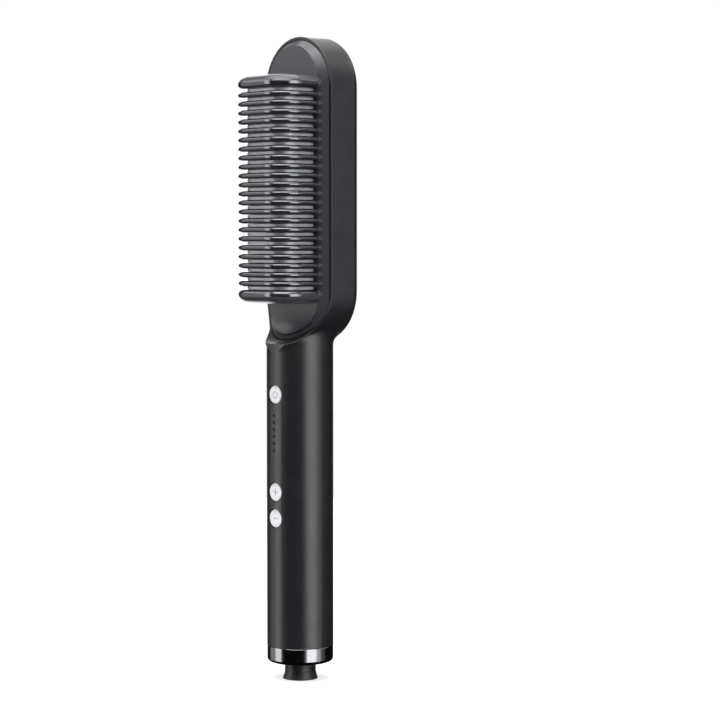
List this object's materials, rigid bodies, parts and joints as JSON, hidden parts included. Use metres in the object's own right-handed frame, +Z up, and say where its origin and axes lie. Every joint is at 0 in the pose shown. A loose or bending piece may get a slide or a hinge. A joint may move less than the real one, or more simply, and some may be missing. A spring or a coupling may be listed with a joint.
{
  "type": "hair straightening brush",
  "caption": "Upright heated hair brush: round handle, scooped neck, stadium head with a ribbed comb in front, a lit ring behind, push buttons and a turning cord gland.",
  "frame": {"origin": "on the handle's axis, at the middle of the grip", "axes": "+Z up along the handle towards the head, +Y towards the lit back, -Y towards the comb, X sideways"},
  "size_m": [0.0462, 0.0422, 0.2879],
  "materials": {
    "shell_abs": "satin black moulded ABS",
    "guard_nylon": "semi-gloss black heat-resistant nylon",
    "comb_aluminium": "grey ceramic-coated cast aluminium",
    "heater_ceramic": "fired ceramic",
    "insulating_film": "amber insulating film",
    "spring_steel": "rolled steel",
    "screw_steel": "zinc-plated steel",
    "sensor_glass": "glass bead",
    "mica": "pressed mica sheet",
    "board_green": "glass-epoxy board with green lacquer",
    "diode_white": "moulded diode package",
    "frame_white": "white moulded ABS",
    "ring_acrylic": "lit violet acrylic diffuser",
    "panel_gloss": "polished black acrylic",
    "carrier_grey": "grey moulded nylon",
    "chip_epoxy": "black epoxy package",
    "capacitor_yellow": "yellow box capacitor",
    "button_silver": "silver-white painted ABS",
    "lens_clear": "smoked acrylic light pipe",
    "wire_red": "silicone wire insulation",
    "wire_white": "silicone wire insulation",
    "ring_chrome": "dark chrome plating on ABS",
    "gland_nylon": "black moulded nylon",
    "contact_brass": "bare brass"
  },
  "bodies": {
    "housing": {"main_housing": "shell_abs", "guard_comb": "guard_nylon", "heating_comb": "comb_aluminium", "ptc_heaters": "heater_ceramic", "heater_sleeves": "insulating_film", "heater_clamp": "spring_steel", "heater_screws": "screw_steel", "head_screws": "screw_steel", "thermistor": "sensor_glass", "thermal_fuse": "screw_steel", "heat_shield": "mica", "led_board": "board_green", "ring_leds": "diode_white", "reflector_frame": "frame_white", "light_ring": "ring_acrylic", "back_panel": "panel_gloss", "board_carrier": "carrier_grey", "control_board": "board_green", "control_chip": "chip_epoxy", "triac": "chip_epoxy", "capacitor": "capacitor_yellow", "fuse": "sensor_glass", "board_screws": "screw_steel", "switch_bodies": "chip_epoxy", "indicator_leds": "diode_white", "indicator_lens": "lens_clear", "heater_leads": "wire_red", "sensor_leads": "wire_white", "light_leads": "wire_white", "power_leads": "wire_red", "end_ring": "ring_chrome", "end_cap": "gland_nylon", "contact_block": "carrier_grey", "contact_leaves": "contact_brass"},
    "power_key": {"power_button": "button_silver", "power_plunger": "carrier_grey"},
    "warmer_key": {"warmer_button": "button_silver", "warmer_plunger": "carrier_grey"},
    "cooler_key": {"cooler_button": "button_silver", "cooler_plunger": "carrier_grey"},
    "cord_swivel": {"swivel_gland": "gland_nylon", "swivel_clip": "spring_steel", "slip_rings": "contact_brass"}
  },
  "joints": [
    {"name": "power_press", "type": "slide", "parent": "housing", "child": "power_key", "axis": [0, 1, 0], "range_m": [0, 0.0006], "stiffness_N_per_m": 2500, "springref_m": -0.0004},
    {"name": "warmer_press", "type": "slide", "parent": "housing", "child": "warmer_key", "axis": [0, 1, 0], "range_m": [0, 0.0006], "stiffness_N_per_m": 2500, "springref_m": -0.0004},
    {"name": "cooler_press", "type": "slide", "parent": "housing", "child": "cooler_key", "axis": [0, 1, 0], "range_m": [0, 0.0006], "stiffness_N_per_m": 2500, "springref_m": -0.0004},
    {"name": "cord_swivel_turn", "type": "hinge", "parent": "housing", "child": "cord_swivel", "pos_m": [0, 0, -0.075], "axis": [0, 0, 1], "continuous": true}
  ]
}
